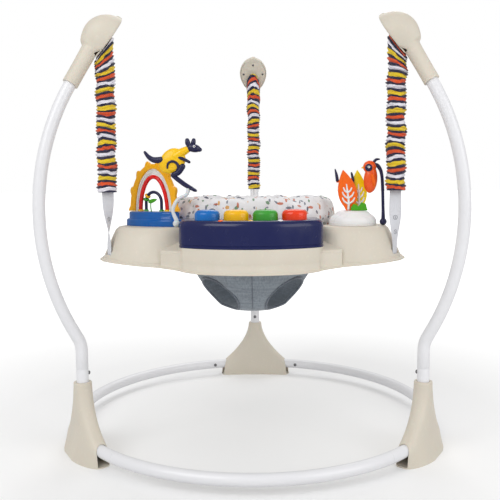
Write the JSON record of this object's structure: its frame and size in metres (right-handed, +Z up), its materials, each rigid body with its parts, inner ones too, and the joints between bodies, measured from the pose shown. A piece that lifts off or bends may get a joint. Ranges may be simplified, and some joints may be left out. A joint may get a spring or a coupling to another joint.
{
  "type": "baby jumper",
  "caption": "Free-standing baby jumper: bowed steel legs on a floor ring carry a toy tray with a swivelling padded seat on sprung, sleeved straps.",
  "frame": {"origin": "middle of the footprint, on the floor under the soles of the foot covers", "axes": "+Z up, +X to the child's left as the picture shows it, -Y towards the toy console and the viewer"},
  "size_m": [0.8676, 0.919, 0.9093],
  "materials": {
    "beige_plastic": "fine satin texture, warm beige",
    "white_steel": "smooth white powder coat",
    "button_steel": "bright plated steel",
    "spring_steel": "drawn spring wire, close coiled",
    "striped_fabric": "ruched jersey in yellow, navy, white and orange stripes",
    "white_webbing": "flat woven polyester webbing",
    "teal_plastic": "satin teal",
    "navy_plastic": "glossy navy",
    "black_plastic": "fine matt texture",
    "blue_plastic": "glossy blue",
    "sun_plastic": "satin sun yellow",
    "clear_plastic": "frosted translucent",
    "red_plastic": "glossy red",
    "green_plastic": "glossy green",
    "yellow_plastic": "glossy yellow",
    "white_plastic": "satin white",
    "leaf_orange": "satin orange",
    "leaf_yellow": "satin yellow",
    "leaf_green": "satin green",
    "bird_orange": "glossy orange red",
    "grey_plastic": "fine matt texture",
    "printed_cotton": "padded white cotton with a small grey, brown and orange print",
    "grey_denim": "washed grey woven cloth with pale piping"
  },
  "bodies": {
    "frame": {"base_tee_left": "white_steel", "base_tee_rear": "white_steel", "base_tee_right": "white_steel", "cap_plate_left": "beige_plastic", "cap_plate_rear": "beige_plastic", "cap_plate_right": "beige_plastic", "cap_shell_left": "beige_plastic", "cap_shell_rear": "beige_plastic", "cap_shell_right": "beige_plastic", "cap_trim_rear": "teal_plastic", "floor_tube_front": "white_steel", "floor_tube_left": "white_steel", "floor_tube_right": "white_steel", "foot_cover_left": "beige_plastic", "foot_cover_rear": "beige_plastic", "foot_cover_right": "beige_plastic", "leg_tube_left": "white_steel", "leg_tube_rear": "white_steel", "leg_tube_right": "white_steel", "spring_left": "spring_steel", "spring_rear": "spring_steel", "spring_right": "spring_steel", "spring_sleeve_left": "striped_fabric", "spring_sleeve_rear": "striped_fabric", "spring_sleeve_right": "striped_fabric", "upper_webbing_left": "white_webbing", "upper_webbing_rear": "white_webbing", "upper_webbing_right": "white_webbing"},
    "leg_button_left": {"leg_button_left": "button_steel"},
    "leg_button_right": {"leg_button_right": "button_steel"},
    "leg_button_rear": {"leg_button_rear": "button_steel"},
    "strap_set": {"lower_webbing_left": "white_webbing", "lower_webbing_right": "white_webbing", "lower_webbing_rear": "white_webbing"},
    "tray": {"tray_shell": "beige_plastic", "console_housing": "navy_plastic", "sound_module": "black_plastic", "toy_base_blue": "blue_plastic", "sun_arch": "sun_plastic", "arch_window": "clear_plastic", "red_rail": "red_plastic", "navy_rail": "navy_plastic", "hill_base": "white_plastic", "leaf_orange": "leaf_orange", "leaf_yellow": "leaf_yellow", "bushes_green": "leaf_green"},
    "key_blue": {"key_blue": "blue_plastic"},
    "key_yellow": {"key_yellow": "yellow_plastic"},
    "key_green": {"key_green": "green_plastic"},
    "key_red": {"key_red": "red_plastic"},
    "beads": {"bead_green": "green_plastic", "bead_yellow": "yellow_plastic"},
    "hopper": {"hopper_stalk": "white_plastic", "hopper_limbs": "navy_plastic", "hopper_body": "yellow_plastic"},
    "bird": {"bird_body": "bird_orange", "bird_stalk": "navy_plastic"},
    "seat": {"seat_ring": "grey_plastic", "seat_cushion": "printed_cotton", "seat_pouch": "grey_denim"}
  },
  "joints": [
    {"name": "button_press_left", "type": "slide", "parent": "frame", "child": "leg_button_left", "axis": [-0.866, -0.5, 0], "range_m": [0, 0.0032], "stiffness_N_per_m": 1500, "springref_m": -0.001},
    {"name": "button_press_right", "type": "slide", "parent": "frame", "child": "leg_button_right", "axis": [0.866, -0.5, 0], "range_m": [0, 0.0032], "stiffness_N_per_m": 1500, "springref_m": -0.001},
    {"name": "button_press_rear", "type": "slide", "parent": "frame", "child": "leg_button_rear", "axis": [0, 1, 0], "range_m": [0, 0.0032], "stiffness_N_per_m": 1500, "springref_m": -0.001},
    {"name": "tray_bounce", "type": "slide", "parent": "frame", "child": "strap_set", "axis": [0, 0, 1], "range_m": [-0.12, 0], "stiffness_N_per_m": 900, "springref_m": 0.085, "deforming": ["spring_left", "spring_right", "spring_rear", "spring_sleeve_left", "spring_sleeve_right", "spring_sleeve_rear"]},
    {"name": "tray_height", "type": "slide", "parent": "strap_set", "child": "tray", "axis": [0, 0, 1], "range_m": [0, 0.076], "deforming": ["lower_webbing_left", "lower_webbing_right", "lower_webbing_rear"]},
    {"name": "key_blue_press", "type": "slide", "parent": "tray", "child": "key_blue", "axis": [0, 0, -1], "range_m": [0, 0.004], "stiffness_N_per_m": 500, "springref_m": -0.002},
    {"name": "key_yellow_press", "type": "slide", "parent": "tray", "child": "key_yellow", "axis": [0, 0, -1], "range_m": [0, 0.004], "stiffness_N_per_m": 500, "springref_m": -0.002},
    {"name": "key_green_press", "type": "slide", "parent": "tray", "child": "key_green", "axis": [0, 0, -1], "range_m": [0, 0.004], "stiffness_N_per_m": 500, "springref_m": -0.002},
    {"name": "key_red_press", "type": "slide", "parent": "tray", "child": "key_red", "axis": [0, 0, -1], "range_m": [0, 0.004], "stiffness_N_per_m": 500, "springref_m": -0.002},
    {"name": "bead_slide", "type": "hinge", "parent": "tray", "child": "beads", "pos_m": [-0.212, -0.15556, 0.5258], "axis": [0.5, 0.866, 0], "range_deg": [0, 150]},
    {"name": "hopper_sway", "type": "hinge", "parent": "tray", "child": "hopper", "pos_m": [-0.157, -0.21256, 0.4818], "axis": [0, 1, 0], "range_deg": [-12, 12], "stiffness_Nm_per_rad": 1},
    {"name": "bird_sway", "type": "hinge", "parent": "tray", "child": "bird", "pos_m": [0.279, -0.18456, 0.4818], "axis": [0, 1, 0], "range_deg": [-10, 10], "stiffness_Nm_per_rad": 0.8},
    {"name": "seat_turn", "type": "hinge", "parent": "tray", "child": "seat", "pos_m": [0, -0.03956, 0.455], "axis": [0, 0, 1], "continuous": true}
  ]
}
